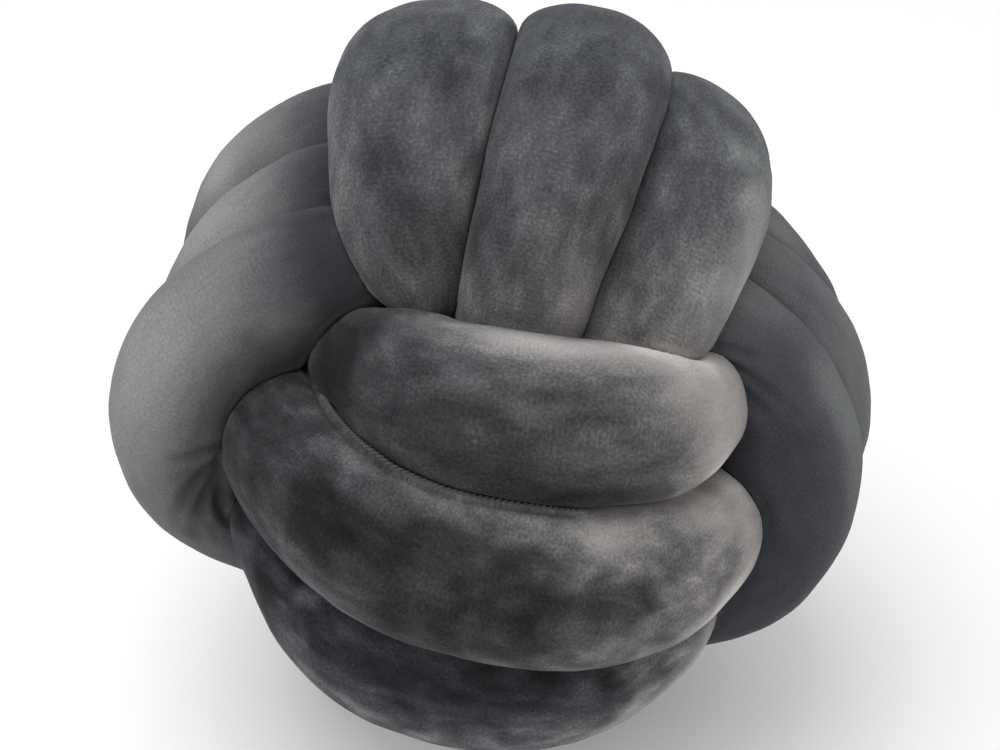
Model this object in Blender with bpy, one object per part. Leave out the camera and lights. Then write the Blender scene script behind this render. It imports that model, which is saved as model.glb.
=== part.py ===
"""A knotted ball cushion: one long stuffed plush tube, wound and tucked into a ball, resting on two turns.

Three coils of three turns each run round the ball on perpendicular axes, as in a monkey's fist knot. Each
coil passes over one of the others and under the third, so every side shows three turns lying together.
"""

import math

import bmesh
import bpy
from mathutils import Matrix, Vector

# Sizes of the ball, in metres. A turn is a flattened ring: long where it shows, short where it dives under.
CREST_RADIUS = 0.142  # ball's centre to the tube's centreline, at the middle of a side
DIVE_RADIUS = 0.091  # ball's centre to the centreline, where the turn crosses inside
EDGE_DROP = 0.010  # the outer two turns of a side lie this much nearer the centre
TURN_PITCH = 0.061  # between neighbouring turns on a side
DIVE_PITCH = 0.037  # between neighbouring turns inside, where they are squeezed
SQUARENESS = 0.89  # power that turns the ring's ellipse a little towards a rectangle
HALF_WIDTH = 0.0367  # of the tube, along the side of the ball
HALF_HEIGHT = 0.0342  # of the tube, out from the centre
DIVE_HALF_WIDTH = 0.022
DIVE_HALF_HEIGHT = 0.030
FULLNESS = 2.3  # power of the tube's section: 2 is an ellipse, more is fuller at the shoulders
CORE_RADIUS = 0.134  # the tucked stretches of the tube inside, as one filled ball

# How the ball lies: rolled a little onto two neighbouring turns, which its weight presses flat.
ROLL = math.radians(12)
CENTRE = Vector((-0.006, 0.001, 0.168))

# Stations along a turn and sides of its section.
STATIONS = 48
SIDES = 16

# Unevenness of the hand-wound turns, in millimetres. far is the side of the ball towards the coil's long
# axis, near the opposite side. out: bulge away from the centre. slide: moved along the coil's own axis.
# slant: slide that changes sign along the side. wide: added half width. dip_far and dip_near: the same
# bulge for the two hidden crossings, on the far and the near side of the coil's short axis.
COLUMNS = (
    "coil", "turn", "out_far", "out_near", "dip_far", "dip_near", "slide_far", "slide_near", "slant_far",
    "slant_near", "wide_far", "wide_near",
)
TURNS = (
    ("level", -1, 2, 7, 12, 2, 2, 10, 4, -9, 1, 7),
    ("level", 0, 4, 6, 16, 10, -2, 9, 2, -8, 2, 5),
    ("level", 1, -1, -5, -6, -21, 1, 4, -3, 7, 0, -1),
    ("fore_aft", -1, 7, -6, -10, -16, 6, 5, 7, -4, 6, 0),
    ("fore_aft", 0, 8, 4, -12, 0, 7, 1, 12, -2, 2, 1),
    ("fore_aft", 1, -4, 2, -22, -3, -3, 2, -1, 3, 2, 1),
    ("crosswise", -1, 0, -1, -6, -14, 3, -7, 9, -5, 0, 0),
    ("crosswise", 0, 2, -18, -4, 0, -3, -2, 0, 9, 0, 0),
    ("crosswise", 1, 3, -9, 5, 0, -14, 9, -17, 17, 0, 0),
)

# Each coil's own axis, the long axis of its turns and their short axis.
COILS = {
    "level": (Vector((0, 0, 1)), Vector((0, 1, 0)), Vector((1, 0, 0))),
    "fore_aft": (Vector((1, 0, 0)), Vector((0, 0, 1)), Vector((0, 1, 0))),
    "crosswise": (Vector((0, 1, 0)), Vector((1, 0, 0)), Vector((0, 0, 1))),
}

PLUSH_COLOUR = (0.102, 0.102, 0.112, 1)


def clear_scene():
    for thing in list(bpy.data.objects):
        bpy.data.objects.remove(thing, do_unlink=True)


def signed_power(value, power):
    return math.copysign(abs(value) ** power, value)


def plush_material():
    plush = bpy.data.materials.new("dark_grey_plush")
    plush.use_nodes = True
    shader = plush.node_tree.nodes["Principled BSDF"]
    shader.inputs["Base Color"].default_value = PLUSH_COLOUR
    shader.inputs["Roughness"].default_value = 0.9
    shader.inputs["Metallic"].default_value = 0
    return plush


def centreline_point(row, angle):
    """Where the tube's centreline is at this angle round the turn, and its section's half width and height."""
    own_axis, long_axis, short_axis = COILS[row["coil"]]
    along, across = math.cos(angle), math.sin(angle)
    side = "far" if along > 0 else "near"
    dive = "far" if across > 0 else "near"
    shown = abs(along) ** 1.6
    on_side = abs(along) ** 1.2
    edge = abs(row["turn"])
    reach = CREST_RADIUS - EDGE_DROP * edge + row["out_" + side] / 1000
    depth = DIVE_RADIUS - 0.3 * EDGE_DROP * edge + row["dip_" + dive] / 1000
    place = row["turn"] * (DIVE_PITCH + (TURN_PITCH - DIVE_PITCH) * shown)
    place += row["slide_" + side] / 1000 * on_side
    place += row["slant_" + side] / 1000 * across * abs(along) ** 0.6
    point = long_axis * (reach * signed_power(along, SQUARENESS))
    point += short_axis * (depth * signed_power(across, SQUARENESS))
    point += own_axis * place
    half_width = DIVE_HALF_WIDTH + (HALF_WIDTH - DIVE_HALF_WIDTH) * shown + row["wide_" + side] / 1000 * on_side
    half_height = DIVE_HALF_HEIGHT + (HALF_HEIGHT - DIVE_HALF_HEIGHT) * shown
    return point, half_width, half_height


def make_turn(row, collection):
    """One turn of the tube as a closed ring, swept along its centreline."""
    route = [centreline_point(row, 2 * math.pi * k / STATIONS) for k in range(STATIONS)]
    mesh = bmesh.new()
    rings = []
    for k, (point, half_width, half_height) in enumerate(route):
        forward = (route[(k + 1) % STATIONS][0] - route[k - 1][0]).normalized()
        sideways = forward.cross(point).normalized()
        outward = sideways.cross(forward)
        ring = []
        for j in range(SIDES):
            turn = 2 * math.pi * j / SIDES
            wide = half_width * signed_power(math.cos(turn), 2 / FULLNESS)
            high = half_height * signed_power(math.sin(turn), 2 / FULLNESS)
            ring.append(mesh.verts.new(point + sideways * wide + outward * high))
        rings.append(ring)
    for k, ring in enumerate(rings):
        following = rings[(k + 1) % STATIONS]
        for j in range(SIDES):
            beside = (j + 1) % SIDES
            mesh.faces.new((ring[j], ring[beside], following[beside], following[j]))
    bmesh.ops.recalc_face_normals(mesh, faces=mesh.faces)
    return add_object(f"turn_{row['coil']}_{row['turn'] + 2}", mesh, collection)


def make_core(collection):
    mesh = bmesh.new()
    bmesh.ops.create_icosphere(mesh, subdivisions=4, radius=CORE_RADIUS)
    return add_object("knotted_tube", mesh, collection)


def make_floor_cutter(collection):
    """The space under the ball, which flattens the two turns that it rests on."""
    mesh = bmesh.new()
    bmesh.ops.create_cube(mesh, size=0.6, matrix=Matrix.Translation((0, 0, -0.3)))
    return add_object("floor_cutter", mesh, collection)


def add_object(name, mesh, collection):
    data = bpy.data.meshes.new(name)
    mesh.to_mesh(data)
    mesh.free()
    thing = bpy.data.objects.new(name, data)
    collection.objects.link(thing)
    return thing


def as_helper(thing):
    thing.hide_render = True
    thing.display_type = "WIRE"


def make_tube():
    """All turns joined with the core, rolled to rest and flattened where they meet the floor, as one solid."""
    scene_objects = bpy.context.scene.collection
    turns = bpy.data.collections.new("turns")
    scene_objects.children.link(turns)
    for values in TURNS:
        as_helper(make_turn(dict(zip(COLUMNS, values)), turns))
    tube = make_core(scene_objects)
    to_rest = Matrix.Translation(CENTRE) @ Matrix.Rotation(ROLL, 4, "Y")
    for piece in [tube, *turns.objects]:
        piece.data.transform(to_rest)

    joined = tube.modifiers.new("turns joined", "BOOLEAN")
    joined.operation = "UNION"
    joined.solver = "EXACT"
    joined.operand_type = "COLLECTION"
    joined.collection = turns

    cutter = make_floor_cutter(scene_objects)
    as_helper(cutter)
    rested = tube.modifiers.new("flat where it rests", "BOOLEAN")
    rested.operation = "DIFFERENCE"
    rested.solver = "EXACT"
    rested.object = cutter
    return tube


clear_scene()
ball = make_tube()
ball.data.materials.append(plush_material())
ball.data.shade_smooth()
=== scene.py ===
"""The looks of a knotted ball cushion of dark grey crushed plush, dressed over its construction model."""

import math

import bpy
import numpy as np
from mathutils import Matrix, Vector, noise


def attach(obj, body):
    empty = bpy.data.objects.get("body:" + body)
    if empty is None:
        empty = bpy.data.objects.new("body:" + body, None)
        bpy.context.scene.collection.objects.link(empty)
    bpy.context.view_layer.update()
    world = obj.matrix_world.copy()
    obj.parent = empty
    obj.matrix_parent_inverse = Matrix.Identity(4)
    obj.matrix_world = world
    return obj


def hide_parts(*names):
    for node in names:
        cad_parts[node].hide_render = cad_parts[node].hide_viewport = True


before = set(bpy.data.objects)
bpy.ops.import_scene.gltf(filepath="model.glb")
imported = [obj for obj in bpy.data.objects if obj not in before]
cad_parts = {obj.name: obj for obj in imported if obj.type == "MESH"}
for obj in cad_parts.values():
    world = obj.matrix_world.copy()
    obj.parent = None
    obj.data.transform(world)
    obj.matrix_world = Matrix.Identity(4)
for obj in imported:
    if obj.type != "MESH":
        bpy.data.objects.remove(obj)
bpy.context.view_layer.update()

# The view: from a little right of the ball's front and above it, looking down on it at about arm's length,
# as the photograph was taken. The lens and shift give its framing at 1000 by 750.
EYE = Vector((0.0241, -0.7346, 0.6396))
LOOK_AT = Vector((-0.006, 0.001, 0.168))
TILT_OF_CAMERA = math.radians(-0.3)

camera = bpy.data.objects.new("camera", bpy.data.cameras.new("camera"))
bpy.context.scene.collection.objects.link(camera)
camera.location = EYE
towards = (LOOK_AT - EYE).to_track_quat("-Z", "Y").to_matrix().to_4x4()
camera.rotation_euler = (towards @ Matrix.Rotation(TILT_OF_CAMERA, 4, "Z")).to_euler()
camera.data.lens = 66.9
camera.data.shift_x = 0.0067
camera.data.shift_y = 0.0052
camera.data.clip_start = 0.01
bpy.context.scene.camera = camera

# The knotted tube: one strip of plush about seven metres long, sewn into a tube along one seam, stuffed
# with fibre, wound into three coils of three turns and tucked, so that neighbouring turns press flat
# against each other. Both ends are tucked inside. It lies on two turns, which its weight flattens.
CREST_RADIUS = 0.142  # ball's centre to the tube's centreline, at the middle of a side
DIVE_RADIUS = 0.091  # ball's centre to the centreline, where the turn crosses inside
EDGE_DROP = 0.010  # the outer two turns of a side lie this much nearer the centre
DIVE_DROP = 0.3 * EDGE_DROP  # and this much where they cross inside
TURN_PITCH = 0.061  # between neighbouring turns on a side
DIVE_PITCH = 0.037  # between neighbouring turns inside, where they are squeezed
SQUARENESS = 0.89  # power that turns the ring's ellipse a little towards a rectangle
HALF_WIDTH = 0.0367  # of the tube, along the side of the ball
HALF_HEIGHT = 0.0342  # of the tube, out from the centre
DIVE_HALF_WIDTH = 0.022
DIVE_HALF_HEIGHT = 0.030
FULLNESS = 2.3  # power of the tube's section: 2 is an ellipse, more is fuller at the shoulders
NARROWING, SLIDING, SLANTING = 1.6, 1.2, 0.6  # powers by which these fade from a side's middle to the dive
ROLL = math.radians(12)
CENTRE = np.array((-0.006, 0.001, 0.168))

# The turns' unevenness in millimetres, as in the construction model. The far side of a coil is where its
# long way points, or its short way for the dips inside, and the near side is the other one.
COLUMNS = (
    "coil", "turn", "out_far", "out_near", "dip_far", "dip_near", "slide_far", "slide_near", "slant_far",
    "slant_near", "wide_far", "wide_near",
)
TURNS = (
    ("level", -1, 2, 7, 12, 2, 2, 10, 4, -9, 1, 7),
    ("level", 0, 4, 6, 16, 10, -2, 9, 2, -8, 2, 5),
    ("level", 1, -1, -5, -6, -21, 1, 4, -3, 7, 0, -1),
    ("fore_aft", -1, 7, -6, -10, -16, 6, 5, 7, -4, 6, 0),
    ("fore_aft", 0, 8, 4, -12, 0, 7, 1, 12, -2, 2, 1),
    ("fore_aft", 1, -4, 2, -22, -3, -3, 2, -1, 3, 2, 1),
    ("crosswise", -1, 0, -1, -6, -14, 3, -7, 9, -5, 0, 0),
    ("crosswise", 0, 2, -18, -4, 0, -3, -2, 0, 9, 0, 0),
    ("crosswise", 1, 3, -9, 5, 0, -14, 9, -17, 17, 0, 0),
)
# Each coil's own axis, along which its turns lie side by side, then the long and the short way round it.
COILS = {
    "level": np.array(((0, 0, 1), (0, 1, 0), (1, 0, 0))),
    "fore_aft": np.array(((1, 0, 0), (0, 0, 1), (0, 1, 0))),
    "crosswise": np.array(((0, 1, 0), (1, 0, 0), (0, 0, 1))),
}


def signed_power(values, power):
    return np.sign(values) * np.abs(values) ** power


def ease(values):
    values = np.clip(values, 0, 1)
    return values * values * (3 - 2 * values)


def turn_route(row, angle):
    """Centreline points of one turn, with the section's half width and half height, at these angles."""
    own_axis, long_axis, short_axis = COILS[row["coil"]]
    along, across = np.cos(angle), np.sin(angle)
    shown = np.abs(along) ** NARROWING
    on_side = np.abs(along) ** SLIDING
    edge = abs(row["turn"])

    def by_side(name, which):
        return np.where(which > 0, row[name + "_far"], row[name + "_near"]) / 1000

    reach = CREST_RADIUS - EDGE_DROP * edge + by_side("out", along)
    depth = DIVE_RADIUS - DIVE_DROP * edge + by_side("dip", across)
    place = row["turn"] * (DIVE_PITCH + (TURN_PITCH - DIVE_PITCH) * shown)
    place = place + by_side("slide", along) * on_side
    place = place + by_side("slant", along) * across * np.abs(along) ** SLANTING
    points = (reach * signed_power(along, SQUARENESS))[:, None] * long_axis
    points = points + (depth * signed_power(across, SQUARENESS))[:, None] * short_axis
    points = points + place[:, None] * own_axis
    half_width = DIVE_HALF_WIDTH + (HALF_WIDTH - DIVE_HALF_WIDTH) * shown + by_side("wide", along) * on_side
    half_height = DIVE_HALF_HEIGHT + (HALF_HEIGHT - DIVE_HALF_HEIGHT) * shown
    return np.column_stack([points, half_width, half_height])


STEP_ROUND = 1.5  # degrees between the route's points
PASSED_OVER = 60  # degrees over which one turn passes to the next


def coil_route(name):
    """Three turns of one coil as one run: each passes to the next in its hidden crossing."""
    rows = [dict(zip(COLUMNS, values)) for values in TURNS if values[0] == name]
    swept = np.arange(0, 3 * 360 + 1, STEP_ROUND)
    first, second, third = (turn_route(row, np.radians(swept - 90)) for row in rows)
    past_first, past_second = (
        ease((swept - turns * 360 + PASSED_OVER / 2) / PASSED_OVER)[:, None] for turns in (1, 2)
    )
    return first * (1 - past_first) + second * past_first * (1 - past_second) + third * past_second


def unit(step):
    return step / np.linalg.norm(step)


LINK_REACH = 0.22  # how far a link keeps a coil's heading: more makes a wider loop
LINK_POINTS = 40


def tucked_link(before, after):
    """The hidden stretch from the end of one coil through the ball's middle to the start of the next."""
    start, end = before[-1], after[0]
    leave = LINK_REACH * unit(before[-1, :3] - before[-3, :3])
    arrive = LINK_REACH * unit(after[2, :3] - after[0, :3])
    t = np.linspace(0, 1, LINK_POINTS + 2)[1:-1, None]
    centreline = (2 * t**3 - 3 * t**2 + 1) * start[:3] + (t**3 - 2 * t**2 + t) * leave
    centreline = centreline + (3 * t**2 - 2 * t**3) * end[:3] + (t**3 - t**2) * arrive
    return np.hstack([centreline, start[3:] * (1 - t) + end[3:] * t])


END_LENGTH = 0.09
END_TURNED_BACK = 0.35  # share of its heading that a tucked end loses on the way
END_DEPTH = 0.75  # share of the way to the ball's middle that it goes
END_POINTS = 19


def tucked_end(tip, near):
    """A short stretch that takes a loose end of the tube into the middle of the ball."""
    heading = unit(tip[:3] - near[:3])
    t = np.linspace(0, 1, END_POINTS + 1)[1:, None]
    points = tip[:3] + heading * END_LENGTH * t * (1 - END_TURNED_BACK * t) - tip[:3] * END_DEPTH * t**2
    return np.hstack([points, np.repeat(tip[None, 3:], len(t), 0)])


def whole_route():
    """The whole tube from end to end, in the order in which it is wound."""
    level, fore_aft, crosswise = (coil_route(name) for name in COILS)
    return np.vstack([
        tucked_end(level[0], level[2])[::-1],
        level,
        tucked_link(level, fore_aft),
        fore_aft,
        tucked_link(fore_aft, crosswise),
        crosswise,
        tucked_end(crosswise[-1], crosswise[-3]),
    ])


MILLIMETRE = 0.001
SMOOTHED_BESIDE = 9  # millimetres on each side of a point


def smoothed(route):
    """The route at every millimetre, smoothed over about a centimetre, with the length run so far."""
    lengths = np.concatenate([[0], np.cumsum(np.linalg.norm(np.diff(route[:, :3], axis=0), axis=1))])
    run = np.arange(0, lengths[-1], MILLIMETRE)
    dense = np.column_stack([np.interp(run, lengths, column) for column in route.T])
    window = np.hanning(2 * SMOOTHED_BESIDE + 1)
    window = window / window.sum()
    padded = np.pad(dense, ((SMOOTHED_BESIDE, SMOOTHED_BESIDE), (0, 0)), mode="edge")
    return np.column_stack([np.convolve(column, window, "valid") for column in padded.T] + [run])


# Where a turn's end settles aside, is drawn in or (less than 0) swells as it is tucked, in millimetres over
# this length.
SETTLED_COLUMNS = ("coil", "turn", "angle", "length", "right", "up", "narrower")
SETTLED = (
    ("fore_aft", -1, 297, 40, 10, 0, 10),
    ("level", 1, 222, 40, 4, 1, -3),
    ("level", 1, 136, 50, 0, -1.5, -2),
    ("level", 0, 238, 36, 0, 2, 0),
    ("level", 0, 136, 60, 0, -2, -2.5),
)


def place_on(coil, turn, degrees):
    """The length run where a turn's centreline stands at this angle, measured as in the turns' route."""
    row = next(dict(zip(COLUMNS, values)) for values in TURNS if values[:2] == (coil, turn))
    point = turn_route(row, np.radians([float(degrees)]))[0, :3]
    return dense_route[np.linalg.norm(dense_route[:, :3] - point, axis=1).argmin(), 5]


def half(millimetres):
    """Half of a size given in millimetres, in metres."""
    return millimetres / 2000


def half_lengths_from(run, row):
    """How far each length run is from this row's place, in halves of the row's length."""
    return (run - place_on(row["coil"], row["turn"], row["angle"])) / half(row["length"])


def settled(dense):
    """The smoothed route with these ends moved and narrowed."""
    moved = dense.copy()
    for values in SETTLED:
        row = dict(zip(SETTLED_COLUMNS, values))
        weight = MILLIMETRE * np.exp(-(half_lengths_from(dense[:, 5], row) ** 2))
        moved[:, 0] += weight * row["right"]
        moved[:, 2] += weight * row["up"]
        moved[:, 3] -= weight * row["narrower"]
    return moved


# How finely the cloth is meshed: along the tube where it shows and where it is hidden, and around it.
STEP_SHOWN = 0.0033
STEP_HIDDEN = 0.0095
SHOWN_FROM, SHOWN_OVER = 0.098, 0.02  # from the ball's middle to the centreline, where a turn comes to show
AROUND = 62

# Where the cloth is meshed more closely for its small folds: the place, how far along and around the tube
# in millimetres and degrees, and how many times closer.
FINER_COLUMNS = ("coil", "turn", "angle", "around", "length", "spread", "times")
FINER = (
    ("crosswise", -1, 190, 170, 80, 26, 2.0),
    ("crosswise", -1, 47, 146, 50, 22, 1.7),
)


def finer_along(run):
    times = np.ones(len(run))
    for values in FINER:
        row = dict(zip(FINER_COLUMNS, values))
        times += (row["times"] - 1) * np.exp(-(half_lengths_from(run, row) ** 4))
    return times


def stepped(dense, shown_step, hidden_step):
    """Stations along the smoothed route, close together where the turn shows."""
    away = np.linalg.norm(dense[:, :3], axis=1)
    step = hidden_step + (shown_step - hidden_step) * ease((away - SHOWN_FROM) / SHOWN_OVER)
    step = step / finer_along(dense[:, 5])
    travelled = np.concatenate([[0], np.cumsum(MILLIMETRE / step)[:-1]])
    wanted = np.linspace(0, travelled[-1], int(round(travelled[-1])) + 1)
    return np.column_stack([np.interp(wanted, travelled, column) for column in dense.T])


def section_axes(points):
    """At each station: forward along the tube, sideways along the ball's side, and outward."""
    forward = np.gradient(points, axis=0)
    forward /= np.linalg.norm(forward, axis=1)[:, None]
    sideways = np.cross(forward, points)
    sideways /= np.linalg.norm(sideways, axis=1)[:, None]
    return forward, sideways, np.cross(sideways, forward)


class Stations:
    """Places along the tube, each with its centre, its section's half sizes and axes, and the length run."""

    def __init__(self, table):
        self.centre = table[:, :3]
        self.half_width = table[:, 3]
        self.half_height = table[:, 4]
        self.run = table[:, 5]
        self.forward, self.sideways, self.outward = section_axes(self.centre)

    def rays(self, around):
        """From the centreline to the free section's edge, at these angles around each station."""
        wide = self.half_width[:, None] * signed_power(np.cos(around), 2 / FULLNESS)
        high = self.half_height[:, None] * signed_power(np.sin(around), 2 / FULLNESS)
        return wide[..., None] * self.sideways[:, None] + high[..., None] * self.outward[:, None]


# How the stuffed cloth meets its neighbours. The contact is found on a coarser net than the cloth's, out to
# a little past the free section, and carried over to the cloth.
CREASE_SHARPNESS = 20.0  # a high power gives a tight crease with narrow shoulders
LOOKED_PAST = 1.3
CONTACT_STEP = 0.007
CONTACT_STEP_HIDDEN = 0.010
CONTACT_AROUND = 48
OWN_STRETCH = 0.11  # the tube doesn't press on its own next 11 cm
FORWARD_REACH = 0.012  # short, so that a point's nearest place on another turn is the one beside it
HALVINGS = 7  # in the search along a ray for where it passes into the neighbour
POINTS_AT_ONCE = 4000
NOWHERE_NEAR = 1e9


def closeness_to_others(points, runs, others, rounded_forms):
    """How far each point is from the nearest other turn's centreline, as a share of that turn's section."""
    result = np.empty(len(points), np.float32)
    for first in range(0, len(points), POINTS_AT_ONCE):
        batch = slice(first, first + POINTS_AT_ONCE)
        part = points[batch]
        x, y, z = part.T
        terms = np.column_stack([x * x, y * y, z * z, x * y, x * z, y * z, x, y, z, np.ones(len(part))])
        far = terms.astype(np.float32) @ rounded_forms
        own = np.abs(runs[batch][:, None] - others.run[None, :].astype(np.float32)) < OWN_STRETCH
        far[own] = NOWHERE_NEAR
        nearest = far.argmin(axis=1)
        offset = part - others.centre[nearest]
        wide = np.abs((offset * others.sideways[nearest]).sum(1)) / others.half_width[nearest]
        high = np.abs((offset * others.outward[nearest]).sum(1)) / others.half_height[nearest]
        result[batch] = (wide**FULLNESS + high**FULLNESS) ** (1 / FULLNESS)
    return result


def rounded_forms_of(others):
    """Each station's section as a rounded quadratic form, for a quick search of the nearest one."""
    reach_forward = np.full(len(others.run), FORWARD_REACH)
    weights = 1 / np.column_stack([others.half_width, others.half_height, reach_forward]) ** 2
    axes = np.stack([others.sideways, others.outward, others.forward], axis=1)
    form = np.einsum("nk,nki,nkj->nij", weights, axes, axes)
    linear = -2 * np.einsum("nij,nj->ni", form, others.centre)
    constant = np.einsum("ni,nij,nj->n", others.centre, form, others.centre)
    return np.column_stack([
        form[:, 0, 0], form[:, 1, 1], form[:, 2, 2], 2 * form[:, 0, 1], 2 * form[:, 0, 2], 2 * form[:, 1, 2],
        linear, constant,
    ]).T.astype(np.float32)


def contact_shares(stations, around):
    """How much of each ray stays on the tube's own side of where it presses on its neighbours."""
    rays = stations.rays(around).reshape(-1, 3)
    centres = np.repeat(stations.centre, around.shape[1], 0)
    runs = np.repeat(stations.run, around.shape[1]).astype(np.float32)
    forms = rounded_forms_of(stations)
    past = closeness_to_others(centres + rays * LOOKED_PAST, runs, stations, forms) - LOOKED_PAST
    share = np.full(len(rays), LOOKED_PAST)
    pressed = np.flatnonzero(past < 0)
    rays, centres, runs = rays[pressed], centres[pressed], runs[pressed]
    low, high = np.zeros(len(rays)), np.full(len(rays), LOOKED_PAST)
    for _ in range(HALVINGS):
        middle = (low + high) / 2
        clear = closeness_to_others(centres + rays * middle[:, None], runs, stations, forms) >= middle
        low = np.where(clear, middle, low)
        high = np.where(clear, high, middle)
    share[pressed] = (low + high) / 2
    return share.reshape(around.shape)


def carried_over(shares, coarse, fine, around):
    """The contact shares of the coarse stations read at the fine ones, at these angles around the tube."""
    place = np.interp(fine.run, coarse.run, np.arange(len(coarse.run)))
    lower = np.minimum(place.astype(int), len(coarse.run) - 2)
    along = (place - lower)[:, None]
    turn = (around + math.pi / 2) / (2 * math.pi) * CONTACT_AROUND
    left = np.floor(turn).astype(int)
    beside = turn - left
    left, right = left % CONTACT_AROUND, (left + 1) % CONTACT_AROUND
    rows = lower[:, None]
    before = shares[rows, left] * (1 - beside) + shares[rows, right] * beside
    after = shares[rows + 1, left] * (1 - beside) + shares[rows + 1, right] * beside
    return before * (1 - along) + after * along


dense_route = smoothed(whole_route())
settled_route = settled(dense_route)
coarse = Stations(stepped(settled_route, CONTACT_STEP, CONTACT_STEP_HIDDEN))
fine = Stations(stepped(settled_route, STEP_SHOWN, STEP_HIDDEN))

# Where the tube's seam lies round the section, in degrees: 0 is sideways, 90 straight out, -90 inward.
# It shows along the upper left of the front's middle turn, and is turned inward everywhere else.
SEAM_COLUMNS = ("coil", "turn", "angle", "around", "shows")
SEAM = (
    ("level", -1, 180, -90, 0),
    ("level", -1, 330, -90, 0),
    ("level", 0, 95, 0, 0),
    ("level", 0, 163, 12, 0),
    ("level", 0, 173, 20, 1),
    ("level", 0, 178, 22, 1),
    ("level", 0, 190, 27, 1),
    ("level", 0, 200, 26, 1),
    ("level", 0, 208, 20, 1),
    ("level", 0, 219, 8, 1),
    ("level", 0, 229, 0, 1),
    ("level", 0, 243, -10, 1),
    ("level", 0, 255, -15, 0),
    ("level", 1, 0, -90, 0),
)
seam_rows = [dict(zip(SEAM_COLUMNS, values)) for values in SEAM]
seam_runs = [place_on(row["coil"], row["turn"], row["angle"]) for row in seam_rows]
seam_around = np.radians(np.interp(fine.run, seam_runs, [row["around"] for row in seam_rows]))
seam_shows = ease(np.interp(fine.run, seam_runs, [row["shows"] for row in seam_rows]))

# How closely the mesh's columns lie inside the ball, outside it, and how much closer beside the seam that
# shows, within these degrees of it. Outside begins a little below sideways, where the sine is this.
INSIDE, OUTSIDE, BESIDE_SEAM = 0.35, 1.0, 6.0
SEAM_SPREAD = 6
OUTSIDE_FROM, OUTSIDE_OVER = -0.75, 0.5
HALF_DEGREES = 721  # marks in a full round, counted at both ends


def columns_around():
    """Angles of the mesh's columns at each station: close together outside, at folds and at the seam."""
    angles = np.radians(np.linspace(-90, 270, HALF_DEGREES))
    outside = ease((np.sin(angles) - OUTSIDE_FROM) / OUTSIDE_OVER)
    table = np.empty((len(fine.run), AROUND))
    folded = np.zeros((len(fine.run), len(angles)))
    for values in FINER:
        row = dict(zip(FINER_COLUMNS, values))
        nearby = np.exp(-(((np.degrees(angles) - row["around"]) / row["spread"]) ** 2))
        folded += (row["times"] - 1) * np.exp(-(half_lengths_from(fine.run, row) ** 4))[:, None] * nearby
    for k, (seam, shows) in enumerate(zip(seam_around, seam_shows)):
        near_seam = np.exp(-((angles - seam) / math.radians(SEAM_SPREAD)) ** 2)
        density = INSIDE + (OUTSIDE - INSIDE) * outside + BESIDE_SEAM * shows * near_seam + folded[k]
        filled = np.concatenate([[0], np.cumsum((density[1:] + density[:-1]) / 2)])
        table[k] = np.interp(np.arange(AROUND) / AROUND * filled[-1], filled, angles)
    return table


contact_angles = 2 * math.pi * np.arange(CONTACT_AROUND) / CONTACT_AROUND - math.pi / 2
shares = contact_shares(coarse, np.tile(contact_angles, (len(coarse.run), 1)))
around = columns_around()
share = carried_over(shares, coarse, fine, around)
share = (1 + share**-CREASE_SHARPNESS) ** (-1 / CREASE_SHARPNESS)
share[[0, -1]] = 0  # the tube's two ends close to a point
cloth = fine.centre[:, None] + fine.rays(around) * share[..., None]

# Folds and dents of the stuffed cloth, in millimetres and degrees: where the middle lies, how long it runs
# and which way (0 is along the tube, 90 round it), how deep it is (less than 0 is a bulge) and how wide. The
# cloth is pushed up a little on both sides of a fold, by a share of its depth.
SECTION_RADIUS = 0.0354
PUSHED_UP = 0.45
PUSHED_UP_AT, PUSHED_UP_OVER = 2.0, 1.1  # in widths of the fold
FOLD_COLUMNS = ("coil", "turn", "angle", "around", "length", "heading", "depth", "width")
FOLDS = (
    ("crosswise", -1, 178, 168, 26, -66, 2.6, 2.0),
    ("crosswise", -1, 187, 165, 40, -36, 3.0, 2.0),
    ("crosswise", -1, 190, 173, 40, -22, 2.6, 1.8),
    ("crosswise", -1, 196, 178, 46, -9, 2.8, 1.9),
    ("crosswise", -1, 200, 156, 32, -30, 1.4, 2.4),
    ("crosswise", -1, 52, 138, 30, 30, 2.0, 2.0),
    ("crosswise", -1, 45, 146, 36, 12, 2.0, 2.2),
    ("crosswise", -1, 40, 156, 34, 4, 1.0, 3.4),
    ("level", 1, 199, 128, 70, 0, -1.6, 9.0),
    ("level", 1, 190, 88, 14, 8, 0.7, 3.2),
    ("level", 1, 172, 86, 9, 0, 0.5, 3.0),
    ("level", 0, 168, 96, 18, 20, 0.7, 6.0),
    ("level", 0, 176, 54, 22, 12, 0.7, 6.0),
    ("fore_aft", -1, 318, 122, 26, 4, 0.8, 2.6),
    ("fore_aft", -1, 322, 112, 20, -6, 0.5, 2.4),
)


def distances_from(row):
    """How far each point of the cloth is from this row's place, lengthwise and across its heading."""
    along = fine.run[:, None] - place_on(row["coil"], row["turn"], row["angle"])
    turned = (around - math.radians(row["around"]) + math.pi) % (2 * math.pi) - math.pi
    beside = turned * SECTION_RADIUS
    cosine, sine = math.cos(math.radians(row["heading"])), math.sin(math.radians(row["heading"]))
    return along * cosine + beside * sine, beside * cosine - along * sine


relief = np.zeros(around.shape)
for values in FOLDS:
    row = dict(zip(FOLD_COLUMNS, values))
    lengthwise, across = distances_from(row)
    width = row["width"] / 1000
    fading = np.exp(-((lengthwise / half(row["length"])) ** 4))
    beside_fold = (np.abs(across) - PUSHED_UP_AT * width) / (PUSHED_UP_OVER * width)
    section = np.exp(-((across / width) ** 2)) - PUSHED_UP * np.exp(-(beside_fold**2))
    relief -= row["depth"] / 1000 * fading * section

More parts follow.
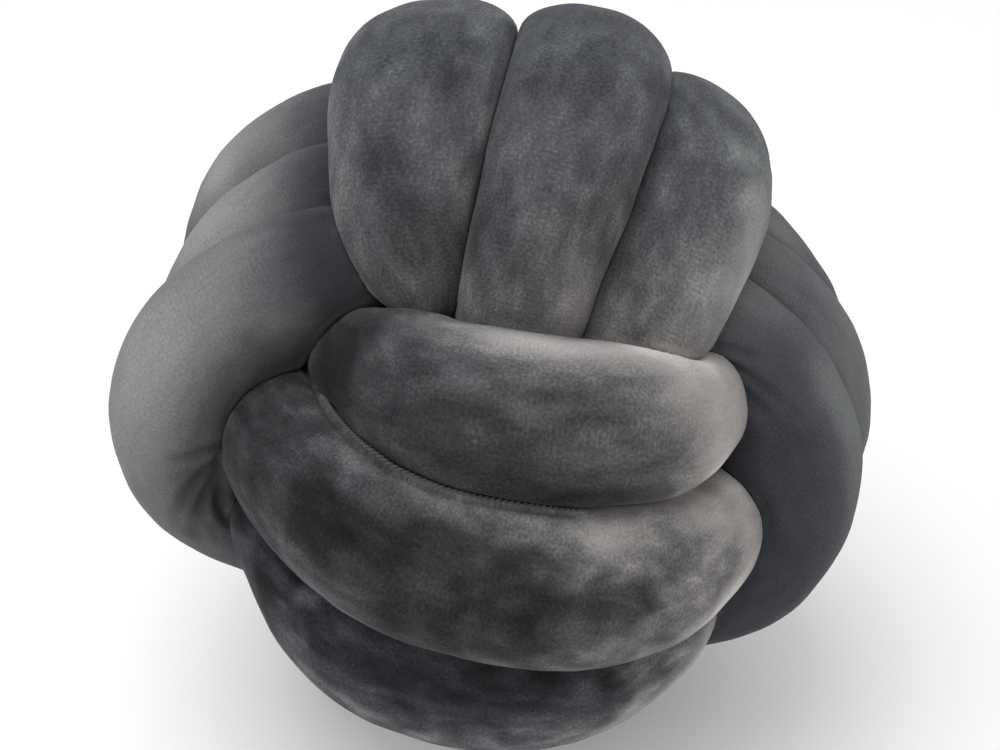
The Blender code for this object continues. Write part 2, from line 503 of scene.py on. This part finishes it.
# The fibre's soft lumps, as height and waves per metre: broad ones four centimetres across and small ones of
# a little over one. They're left out where turns press on each other.
LUMPS = ((0.0014, 26), (0.0004, 80))
PRESSED_TO, PRESSED_OVER = 0.86, 0.12
lumps = [
    [sum(height * noise.noise(point * waves) for height, waves in LUMPS) for point in map(Vector, ring)]
    for ring in cloth.tolist()
]
relief += np.array(lumps) * ease((share - PRESSED_TO) / PRESSED_OVER)

# The seam's low ridge, where the two edges of the strip lie folded together, and a narrow groove on each
# side of it.
RIDGE_HEIGHT, RIDGE_HALF_WIDTH = 0.0011, 0.0016
GROOVE_DEPTH, GROOVE_AT, GROOVE_HALF_WIDTH = 0.0015, 0.0025, 0.0007
from_seam = (around - seam_around[:, None]) * SECTION_RADIUS
ridge = RIDGE_HEIGHT * np.exp(-((from_seam / RIDGE_HALF_WIDTH) ** 4))
grooves = GROOVE_DEPTH * np.exp(-(((np.abs(from_seam) - GROOVE_AT) / GROOVE_HALF_WIDTH) ** 2))
relief += (ridge - grooves) * seam_shows[:, None]

# The relief stands straight out of the cloth, which has no such direction where an end closes to a point.
NO_LENGTH = 1e-12
along_tube = np.gradient(cloth, axis=0)
round_tube = np.roll(cloth, -1, axis=1) - np.roll(cloth, 1, axis=1)
out_of_cloth = np.cross(along_tube, round_tube)
out_of_cloth /= np.maximum(np.linalg.norm(out_of_cloth, axis=2), NO_LENGTH)[..., None]
cloth = cloth + out_of_cloth * relief[..., None]

# How the pile's colour changes, in hundredths of shade: partly the real nap, brushed towards the light or
# away from it in broad sweeps left by winding and stuffing the tube and in the smaller marks of hands, and
# partly painted light and shade: lighter where light falls on a turn, darker in creases and pits where shade
# falls. Each turn has its own, with the place and the heading in degrees and the size in millimetres.
NAP_AND_PAINTED_SHADING_COLUMNS = ("angle", "around", "length", "breadth", "heading", "shade")
NAP_AND_PAINTED_SHADING = {
    ("level", 1): (
        (200, 88, 130, 150, 0, -42), (134, 70, 90, 150, 0, 44), (168, 28, 84, 28, 0, 60),
        (187, 110, 70, 26, 0, -7), (156, 66, 40, 40, 0, 14), (199, 18, 60, 26, 0, 28),
        (220, 84, 30, 50, 0, -30), (209, 56, 34, 40, 0, 20), (160, 134, 50, 26, 0, -26),
        (199, 84, 36, 36, 0, 16), (140, 103, 36, 34, 0, 8), (154, 104, 34, 30, 0, -14),
        (229, 92, 22, 44, 0, -36), (183, 108, 34, 26, 0, -12), (160, 40, 36, 24, 0, -20),
        (180, 62, 34, 24, 0, 16), (186, 5, 50, 16, 0, 14), (154, 134, 34, 22, 0, -16),
        (158, 35, 34, 20, 0, -8), (182, 28, 30, 20, 0, 14), (172, 66, 26, 22, 0, 12),
        (133, 130, 26, 22, 0, 36), (149, 14, 30, 18, 0, 26), (133, 35, 26, 20, 0, 28),
        (212, 82, 20, 26, 0, 18), (177, 94, 22, 20, 0, 18), (192, 86, 22, 20, 0, 16),
        (168, 67, 22, 20, 0, -12), (204, 92, 24, 18, 0, -14), (170, 138, 26, 16, 0, -14),
        (201, 67, 20, 18, 0, -18), (172, 85, 16, 10, 0, 16), (188, 86, 16, 7, 0, -22),
        (175, 70, 14, 8, 0, -20), (171, 82, 16, 7, 10, -22), (165, 58, 14, 7, 0, -22),
    ),
    ("level", 0): (
        (212, 80, 170, 110, 0, -57), (132, 42, 90, 110, 0, 44), (168, 86, 110, 60, 0, -9),
        (138, 74, 56, 70, 0, -8), (138, 100, 60, 50, 0, 14), (200, 40, 110, 20, 0, 12),
        (213, 104, 110, 20, 0, 24), (145, 90, 50, 44, 0, 18), (164, 40, 50, 40, 0, 52),
        (177, 80, 44, 44, 0, -36), (205, 132, 80, 24, 0, 18), (217, 34, 60, 26, 0, 12),
        (226, 86, 30, 50, 0, -7), (204, 92, 40, 36, 0, -8), (167, 40, 40, 34, 0, 17),
        (146, 72, 36, 36, 0, -26), (186, 102, 50, 24, 0, 26), (186, 35, 70, 16, 0, 24),
        (164, 104, 36, 30, 0, 24), (137, 100, 30, 30, 0, 14), (203, 92, 30, 30, 0, -6),
        (183, 77, 40, 20, 0, 16), (157, 46, 36, 22, 0, -34), (150, 102, 30, 26, 0, -16),
        (139, 80, 26, 30, 0, -14), (235, 104, 26, 30, 0, -14), (150, 28, 30, 24, 0, -9),
        (207, 52, 30, 24, 0, -8), (138, 99, 30, 24, 0, 8), (130, 105, 26, 26, 0, 18),
        (203, 126, 24, 28, 0, 24), (181, 50, 30, 22, 0, 12), (190, 109, 24, 26, 0, -42),
        (136, 68, 26, 24, 0, -20), (184, 106, 30, 20, 0, -14), (212, 74, 24, 24, 0, 7),
        (150, 76, 24, 24, 0, 14), (124, 12, 24, 24, 0, 14), (215, 136, 26, 22, 0, 14),
        (205, 34, 30, 18, 0, 18), (144, 21, 30, 18, 0, 14), (190, 69, 26, 20, 0, 10),
        (169, 18, 30, 16, 0, -20), (121, 17, 24, 20, 0, 20), (125, 99, 20, 24, 0, 14),
        (189, 66, 26, 18, 0, -16), (175, 31, 22, 20, 0, -14), (188, 83, 22, 18, 0, 26),
        (198, 78, 20, 18, 0, 14), (174, 99, 20, 18, 0, -12), (176, 136, 22, 16, 0, 13),
        (161, 77, 18, 15, 0, -26), (156, 72, 16, 16, 0, -18), (172, 50, 18, 10, 20, -20),
    ),
    ("level", -1): (
        (206, 60, 190, 90, 0, -52), (195, 112, 220, 34, 0, 12), (168, 58, 80, 60, 0, -18),
        (204, 106, 120, 34, 0, 14), (152, 84, 90, 44, 0, 28), (135, 85, 60, 50, 0, 20),
        (128, 64, 40, 60, 0, 14), (127, 67, 44, 50, 0, 10), (157, 90, 70, 30, 0, 12),
        (199, 106, 60, 30, 0, 10), (145, 55, 60, 30, 0, -8), (215, 67, 30, 50, 0, -8),
        (180, 80, 60, 24, 0, -8), (127, 67, 30, 30, 0, 7), (203, 46, 40, 18, 0, 18),
        (158, 56, 30, 20, 0, -14), (184, 66, 24, 20, 0, -14), (163, 80, 30, 16, 0, -14),
    ),
    ("fore_aft", -1): (
        (335, 90, 300, 140, 0, -8), (340, 62, 60, 40, 0, -12), (335, 114, 40, 36, 0, -9),
        (321, 122, 40, 30, 0, 12), (334, 74, 30, 30, 0, 10), (324, 49, 30, 30, 0, 8),
        (311, 50, 30, 30, 0, -14), (323, 62, 30, 30, 0, 10), (343, 122, 30, 30, 0, 14),
        (328, 73, 30, 24, 0, 16), (319, 70, 26, 26, 0, -18), (352, 42, 26, 26, 0, 16),
        (337, 68, 26, 24, 0, -16), (322, 98, 26, 22, 0, -27), (311, 140, 22, 22, 0, 12),
        (313, 80, 22, 20, 0, -12),
    ),
    ("fore_aft", 0): (
        (335, 122, 220, 70, 0, -22), (318, 70, 110, 60, 0, -8), (304, 84, 60, 100, 0, 14),
        (337, 70, 40, 36, 0, -8), (314, 124, 40, 30, 0, -22), (355, 76, 30, 40, 0, 8),
        (305, 108, 24, 40, 0, 12), (323, 112, 32, 26, 0, 18), (331, 88, 28, 28, 0, 22),
        (306, 44, 30, 26, 0, 20), (303, 144, 20, 24, 0, 16),
    ),
    ("fore_aft", 1): (
        (324, 72, 130, 70, 0, 26), (330, 138, 90, 40, 0, -18), (336, 122, 70, 50, 0, -12),
        (354, 80, 44, 50, 0, -8), (339, 62, 44, 30, 0, 14), (333, 94, 40, 30, 0, -12),
        (311, 140, 26, 30, 0, 12), (304, 160, 30, 26, 0, 22), (324, 33, 30, 24, 0, 28),
        (338, 130, 30, 24, 0, 14),
    ),
    ("crosswise", -1): (
        (5, 150, 300, 100, 0, -27), (166, 98, 120, 76, 0, 30), (128, 115, 60, 130, 0, -22),
        (22, 92, 90, 34, 0, 24), (52, 98, 40, 60, 0, 22), (150, 164, 60, 30, 0, -12),
        (133, 103, 30, 60, 0, -7), (126, 104, 24, 70, 0, -24), (192, 172, 56, 26, 0, -26),
        (27, 90, 44, 30, 0, 7), (43, 90, 30, 40, 0, -12), (138, 78, 26, 34, 0, 14),
        (163, 176, 30, 26, 0, -18), (137, 151, 26, 26, 0, 13), (47, 103, 26, 26, 0, -12),
        (149, 185, 22, 22, 0, -13),
    ),
    ("crosswise", 0): (
        (155, 112, 80, 90, 0, 31), (30, 105, 120, 60, 0, 12), (125, 115, 44, 120, 0, -36),
        (131, 112, 30, 60, 0, -7), (42, 121, 30, 26, 0, -12),
    ),
    ("crosswise", 1): (
        (154, 130, 80, 90, 0, 18), (126, 140, 44, 120, 0, -28), (152, 140, 50, 40, 0, 7),
        (162, 149, 26, 30, 0, 14), (48, 121, 26, 26, 0, 18),
    ),
}
UNBRUSHED = 0.55
nap_and_painted_shading = np.full(around.shape, UNBRUSHED)
for (coil, turn), strokes in NAP_AND_PAINTED_SHADING.items():
    for values in strokes:
        row = dict(zip(NAP_AND_PAINTED_SHADING_COLUMNS, values), coil=coil, turn=turn)
        lengthwise, across = distances_from(row)
        lengthwise = lengthwise / half(row["length"])
        across = across / half(row["breadth"])
        nap_and_painted_shading += row["shade"] / 100 * np.exp(-(lengthwise**2) - across**2)

# Where a turn starts to roll into the crease beside its neighbour, before the crease's own shadow, the
# colour
# is painted lighter: a painted highlight that lifts the shade falling there.
PAINTED_LIGHT_BY_CREASES = 0.3
ROLLING_FROM, ROLLING_OVER = 0.994, 0.05
SHADED_FROM, SHADED_OVER = 0.80, 0.1
nap_and_painted_shading += PAINTED_LIGHT_BY_CREASES * ease((ROLLING_FROM - share) / ROLLING_OVER) * ease((share - SHADED_FROM) / SHADED_OVER)

# How strongly the pile is crushed into patches, most on the level turns and least on the side ones, and how
# much painted cool light tints its grey, between these places along the tube.
FINISH_COLUMNS = ("coil", "turn", "angle", "crush", "painted_cool_light")
FINISH = [("level", -1, 180, 1.2, 0.5), ("level", 0, 180, 1.0, 0), ("level", 1, 180, 0.75, 0)]
for turn in (-1, 0, 1):
    FINISH += [("fore_aft", turn, 310, 0.65, 0), ("fore_aft", turn, 350, 0.6, 0.8)]
for turn in (-1, 0, 1):
    FINISH += [("crosswise", turn, 0, 0.15, 0.9), ("crosswise", turn, 90, 0.2, 0.5)]
    FINISH += [("crosswise", turn, 180, 0.2, 0.2)]
finish_rows = [dict(zip(FINISH_COLUMNS, values)) for values in FINISH]
finish_runs = [place_on(row["coil"], row["turn"], row["angle"]) for row in finish_rows]
crush = np.interp(fine.run, finish_runs, [row["crush"] for row in finish_rows])
painted_cool_light = np.repeat(np.interp(fine.run, finish_runs, [row["painted_cool_light"] for row in finish_rows])[:, None], AROUND, 1)

# Pile that is brushed light lies smooth, so the patches fade there.
# Where the nap and the painted light make the shade light, the patches fade.
SMOOTHED_OUT = 0.7
SMOOTH_FROM, SMOOTH_OVER = 0.62, 0.3
crush = crush[:, None] * (1 - SMOOTHED_OUT * ease((nap_and_painted_shading - SMOOTH_FROM) / SMOOTH_OVER))

# The ball rolled to where it rests, and its lowest turns flattened on the floor with a soft edge.
FLOOR_ROUNDING = 0.0012
cos_roll, sin_roll = math.cos(ROLL), math.sin(ROLL)
to_rest = np.array(((cos_roll, 0, sin_roll), (0, 1, 0), (-sin_roll, 0, cos_roll)))
cloth = cloth @ to_rest.T + CENTRE
out_of_rest = out_of_cloth @ to_rest.T
cloth[..., 2] = (cloth[..., 2] + np.sqrt(cloth[..., 2] ** 2 + FLOOR_ROUNDING**2)) / 2

# The mesh, with the cloth's own coordinates in metres: along the tube, and round it from the inner side.
CIRCUMFERENCE = 0.222
round_cloth = np.column_stack([around, around[:, :1] + 2 * math.pi]) + math.pi / 2
round_cloth = round_cloth * CIRCUMFERENCE / (2 * math.pi)
faces, cloth_coordinates = [], []
for k in range(len(fine.run) - 1):
    for j in range(AROUND):
        for station, column in ((k, j), (k + 1, j), (k + 1, j + 1), (k, j + 1)):
            faces.append(station * AROUND + column % AROUND)
            cloth_coordinates += (fine.run[station], round_cloth[station, column])
mesh = bpy.data.meshes.new("knotted_plush_tube")
mesh.from_pydata(cloth.reshape(-1, 3).tolist(), [], np.array(faces).reshape(-1, 4).tolist())
mesh.uv_layers.new(name="cloth").data.foreach_set("uv", cloth_coordinates)
for name, values in (("nap_and_painted_shading", nap_and_painted_shading), ("crush", crush), ("painted_cool_light", painted_cool_light)):
    mesh.attributes.new(name, "FLOAT", "POINT").data.foreach_set("value", values.ravel())
mesh.shade_smooth()
tube = bpy.data.objects.new("knotted_plush_tube", mesh)
bpy.context.scene.collection.objects.link(tube)
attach(tube, "root")
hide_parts("knotted_tube")


def srgb(code):
    """A material's colour from its hex code, turned to linear light."""
    parts = [int(code[i:i + 2], 16) / 255 for i in (1, 3, 5)]
    return [c / 12.92 if c <= 0.04045 else ((c + 0.055) / 1.055) ** 2.4 for c in parts] + [1]


def add_node(tree, kind, inputs=None, **settings):
    """Adds a node with these settings. Each input is fed by another node's output or set to a value."""
    node = tree.nodes.new(kind)
    for name, value in settings.items():
        setattr(node, name, value)
    for name, source in (inputs or {}).items():
        if isinstance(source, bpy.types.NodeSocket):
            tree.links.new(source, node.inputs[name])
        else:
            node.inputs[name].default_value = source
    return node


# Crushed velvet plush: a short dense pile on a knit back. It gives the eye a matt surface, darker or
# lighter by which way the pile is brushed and by painted light and shade, in soft patches a centimetre or
# two wide, with a fine grain and the knit's rows faintly showing, a painted cool tint of light on some
# turns, and a thin pale sheen at its edges.
plush = bpy.data.materials.new("dark_grey_crushed_plush")
plush.use_nodes = True
tree = plush.node_tree
shader = tree.nodes["Principled BSDF"]
where = add_node(tree, "ShaderNodeUVMap", uv_map="cloth").outputs["UV"]
brushed_and_painted_shading, crushed, painted_cool_light_share = (
    add_node(tree, "ShaderNodeAttribute", attribute_name=name).outputs["Fac"]
    for name in ("nap_and_painted_shading", "crush", "painted_cool_light")
)


def cloth_noise(stretch, scale, detail, roughness, distortion):
    """Noise in the cloth's own metres, drawn out along the tube or round it."""
    drawn = add_node(tree, "ShaderNodeMapping", {"Vector": where, "Scale": stretch}).outputs["Vector"]
    settings = {"Scale": scale, "Detail": detail, "Roughness": roughness, "Distortion": distortion}
    return add_node(tree, "ShaderNodeTexNoise", {"Vector": drawn, **settings}).outputs["Fac"]


def weighed(value, weight, added_to):
    """added_to plus this noise value, centred on nothing, times its weight."""
    centred = add_node(tree, "ShaderNodeMath", {0: value, 1: 0.5}, operation="SUBTRACT").outputs[0]
    terms = {0: centred, 1: weight, 2: added_to}
    return add_node(tree, "ShaderNodeMath", terms, operation="MULTIPLY_ADD").outputs[0]


# The patterns' sizes in metres: the crushed patches, the dabs of fingers within them, the tufts of the pile,
# which are finer in the real plush and drawn a millimetre wide so that they show, and the knit's rows.
PATCH, DAB, TUFT, KNIT_ROW = 0.02381, 0.007692, 0.001, 0.0015
BANDS_PER_SCALE = 20 / math.tau  # a wave texture of scale 1 has this many bands in a metre
patches = cloth_noise((1.0, 0.8, 1.0), 1 / PATCH, detail=3, roughness=0.48, distortion=0.6)
dabs = cloth_noise((0.7, 1.0, 1.0), 1 / DAB, detail=1, roughness=0.4, distortion=0.3)
grain = cloth_noise((1.0, 0.7, 1.0), 1 / TUFT, detail=2, roughness=0.65, distortion=0.0)
rows_of_loops = {"Distortion": 1.5, "Detail": 1, "Detail Scale": 1.0}
knit = add_node(
    tree, "ShaderNodeTexWave", {"Vector": where, "Scale": 1 / KNIT_ROW / BANDS_PER_SCALE, **rows_of_loops},
    bands_direction="X",
).outputs["Fac"]

# The shade of the pile: as brushed, with its painted light and shade, then the patches and dabs where it is
# crushed, and a stronger grain there.
shade = weighed(weighed(dabs, 0.6, patches), crushed, brushed_and_painted_shading)
stronger = {"From Min": 0.2, "From Max": 0.6, "To Min": 0.33, "To Max": 0.68}
graininess = add_node(tree, "ShaderNodeMapRange", {"Value": crushed, **stronger}).outputs["Result"]
shade = weighed(grain, graininess, shade)
shade = weighed(knit, 0.02, shade)
# The lighter greys are a little warm: a painted warm tint of the light where the shade is painted light.
SHADES = (
    (-0.4, "#121214"), (-0.2, "#19191b"), (0.0, "#232326"), (0.25, "#343437"),
    (0.5, "#4c4b4e"), (0.75, "#6b6a6a"), (1.0, "#918e8d"), (1.3, "#c3bfbc"),
)
darkest, lightest = SHADES[0][0], SHADES[-1][0]
spread = add_node(tree, "ShaderNodeMapRange", {"Value": shade, "From Min": darkest, "From Max": lightest})
colours = add_node(tree, "ShaderNodeValToRGB", {"Fac": spread.outputs["Result"]})
for k, (place, code) in enumerate(SHADES):
    stop = colours.color_ramp.elements[k] if k < 2 else colours.color_ramp.elements.new(1)
    stop.position = (place - darkest) / (lightest - darkest)
    stop.color = srgb(code)

# A mix of colours has its two inputs at 6 and 7 and its result at 2.
COLOUR_A, COLOUR_B, MIXED_COLOUR = 6, 7, 2
# The grey is multiplied towards a pale blue by the painted cool light's share: a painted tint of cool light.
tinted_by_painted_cool_light = add_node(
    tree, "ShaderNodeMix",
    {"Factor": painted_cool_light_share, COLOUR_A: colours.outputs["Color"], COLOUR_B: srgb("#f0fbff")},
    data_type="RGBA", blend_type="MULTIPLY",
)
tree.links.new(tinted_by_painted_cool_light.outputs[MIXED_COLOUR], shader.inputs["Base Color"])
height = weighed(grain, 1.6, weighed(dabs, 0.25, weighed(knit, 0.1, patches)))
bump = add_node(tree, "ShaderNodeBump", {"Height": height, "Strength": 0.5, "Distance": 0.0004})
tree.links.new(bump.outputs["Normal"], shader.inputs["Normal"])
shader.inputs["Roughness"].default_value = 0.9
shader.inputs["Specular IOR Level"].default_value = 0.1
shader.inputs["Sheen Weight"].default_value = 0.12
shader.inputs["Sheen Roughness"].default_value = 0.3
shader.inputs["Sheen Tint"].default_value = srgb("#b4b2b8")
mesh.materials.append(plush)


# The seam's stitches: short slanting loops of grey polyester thread, two and a half millimetres apart, sewn
# over the low ridge where the tube's two long edges lie folded together.
STITCHED_FROM = 0.45  # how far the seam must show
SUNK_IN = 0.0001  # how deep the thread's line lies in the plush
stitched = np.flatnonzero(seam_shows > STITCHED_FROM)


def along_seam(values):
    """These values of the cloth's points, read where the seam runs."""
    return np.array([[np.interp(seam_around[k], around[k], axis) for axis in values[k].T] for k in stitched])


seam_line = along_seam(cloth - out_of_rest * SUNK_IN)
seam_outward = along_seam(out_of_rest)
path_mesh = bpy.data.meshes.new("seam_stitches")
path_mesh.from_pydata(seam_line.tolist(), [(k, k + 1) for k in range(len(seam_line) - 1)], [])
path_mesh.attributes.new("outward", "FLOAT_VECTOR", "POINT").data.foreach_set("vector", seam_outward.ravel())
stitches = bpy.data.objects.new("seam_stitches", path_mesh)
bpy.context.scene.collection.objects.link(stitches)
thread = bpy.data.materials.new("grey_polyester_thread")

sewing = bpy.data.node_groups.new("stitches_along_a_seam", "GeometryNodeTree")
sewing.interface.new_socket("Seam", in_out="INPUT", socket_type="NodeSocketGeometry")
measures = {"Pitch": 0.0025, "Length": 0.0036, "Thickness": 0.0012, "Slant": math.radians(42)}
for name, value in measures.items():
    sewing.interface.new_socket(name, in_out="INPUT", socket_type="NodeSocketFloat").default_value = value
sewing.interface.new_socket("Thread", in_out="INPUT", socket_type="NodeSocketMaterial")
sewing.interface.new_socket("Stitches", in_out="OUTPUT", socket_type="NodeSocketGeometry")
given = add_node(sewing, "NodeGroupInput").outputs
path = add_node(sewing, "GeometryNodeMeshToCurve", {"Mesh": given["Seam"]}).outputs["Curve"]
spaced = add_node(
    sewing, "GeometryNodeResampleCurve", {"Curve": path, "Length": given["Pitch"]}, mode="LENGTH",
).outputs["Curve"]
outward = add_node(
    sewing, "GeometryNodeInputNamedAttribute", {"Name": "outward"}, data_type="FLOAT_VECTOR",
).outputs["Attribute"]
upright = add_node(
    sewing, "FunctionNodeAlignRotationToVector", {"Vector": outward}, axis="Z",
).outputs["Rotation"]
tangent = add_node(sewing, "GeometryNodeInputTangent").outputs["Tangent"]
lying = add_node(
    sewing, "FunctionNodeAlignRotationToVector", {"Rotation": upright, "Vector": tangent},
    axis="X", pivot_axis="Z",
).outputs["Rotation"]
slant = add_node(sewing, "ShaderNodeCombineXYZ", {"Z": given["Slant"]}).outputs["Vector"]
turned = add_node(
    sewing, "FunctionNodeRotateRotation", {"Rotation": lying, "Rotate By": slant}, rotation_space="LOCAL",
).outputs["Rotation"]
loop = add_node(
    sewing, "GeometryNodeMeshUVSphere", {"Segments": 8, "Rings": 6, "Radius": 0.5},
).outputs["Mesh"]
loop_size = add_node(
    sewing, "ShaderNodeCombineXYZ", {"X": given["Length"], "Y": given["Thickness"], "Z": given["Thickness"]},
).outputs["Vector"]
placed = add_node(
    sewing, "GeometryNodeInstanceOnPoints",
    {"Points": spaced, "Instance": loop, "Rotation": turned, "Scale": loop_size},
).outputs["Instances"]
realised = add_node(sewing, "GeometryNodeRealizeInstances", {"Geometry": placed}).outputs["Geometry"]
rounded = add_node(sewing, "GeometryNodeSetShadeSmooth", {"Geometry": realised}).outputs["Geometry"]
coloured = add_node(sewing, "GeometryNodeSetMaterial", {"Geometry": rounded, "Material": given["Thread"]})
add_node(sewing, "NodeGroupOutput", {"Stitches": coloured.outputs["Geometry"]})
sewn = stitches.modifiers.new("sewing", "NODES")
sewn.node_group = sewing
identifiers = {item.name: item.identifier for item in sewing.interface.items_tree if item.in_out == "INPUT"}
sewn[identifiers["Thread"]] = thread
bpy.context.view_layer.update()
evaluated = stitches.evaluated_get(bpy.context.evaluated_depsgraph_get())
plain_stitches = bpy.data.meshes.new_from_object(evaluated)
stitches.modifiers.remove(sewn)
stitches.data = plain_stitches
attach(stitches, "root")

# Spun polyester thread: matt, with the plush's own grey in slightly lighter and darker fibres, which are
# far finer in the real thread and drawn this wide so that they show.
FIBRE = 0.000714
thread.use_nodes = True
tree = thread.node_tree
shader = tree.nodes["Principled BSDF"]
place = add_node(tree, "ShaderNodeTexCoord").outputs["Object"]
fibres = add_node(
    tree, "ShaderNodeTexNoise", {"Vector": place, "Scale": 1 / FIBRE, "Detail": 2},
).outputs["Fac"]
greys = add_node(tree, "ShaderNodeValToRGB", {"Fac": fibres})
greys.color_ramp.elements[0].color = srgb("#323033")
greys.color_ramp.elements[1].color = srgb("#575456")
tree.links.new(greys.outputs["Color"], shader.inputs["Base Color"])
bump = add_node(tree, "ShaderNodeBump", {"Height": fibres, "Strength": 0.4, "Distance": 0.0002})
tree.links.new(bump.outputs["Normal"], shader.inputs["Normal"])
shader.inputs["Roughness"].default_value = 0.8
shader.inputs["Specular IOR Level"].default_value = 0.2


# The pale floor, a large sheet of matt white paper that takes soft shadows, and the soft studio light: a
# large light overhead, one at the left, a weak warm one low in front at the right, and a wide fill.
FAR = 4
floor_mesh = bpy.data.meshes.new("floor")
floor_mesh.from_pydata([(-FAR, -FAR, 0), (FAR, -FAR, 0), (FAR, FAR, 0), (-FAR, FAR, 0)], [], [(0, 1, 2, 3)])
floor = bpy.data.objects.new("floor", floor_mesh)
bpy.context.scene.collection.objects.link(floor)
pale = bpy.data.materials.new("white_paper")
pale.use_nodes = True
pale.node_tree.nodes["Principled BSDF"].inputs["Base Color"].default_value = srgb("#f4f4f4")
floor_mesh.materials.append(pale)

# Each light's place and the side of its square in metres, its power in watts and its tint.
BALL_MIDDLE = (0, 0, 0.17)
LIGHTS = (
    ("overhead", (-0.3, -0.1, 1.5), 1.3, 11, "#ffffff"),
    ("left", (-1.5, -0.5, 0.9), 1.1, 6, "#ffffff"),
    ("right", (1.1, -1.0, 0.6), 0.9, 2.8, "#fff0e2"),
)
for name, place, size, power, tint in LIGHTS:
    lamp = bpy.data.objects.new(name, bpy.data.lights.new(name, "AREA"))
    bpy.context.scene.collection.objects.link(lamp)
    lamp.location = place
    lamp.rotation_euler = (Vector(BALL_MIDDLE) - Vector(place)).to_track_quat("-Z", "Y").to_euler()
    lamp.data.size = size
    lamp.data.energy = power
    lamp.data.color = srgb(tint)[:3]
world = bpy.data.worlds.new("studio")
bpy.context.scene.world = world
world.use_nodes = True
world.node_tree.nodes["Background"].inputs["Color"].default_value = srgb("#ffffff")
world.node_tree.nodes["Background"].inputs["Strength"].default_value = 0.88
bpy.context.scene.view_settings.view_transform = "Standard"
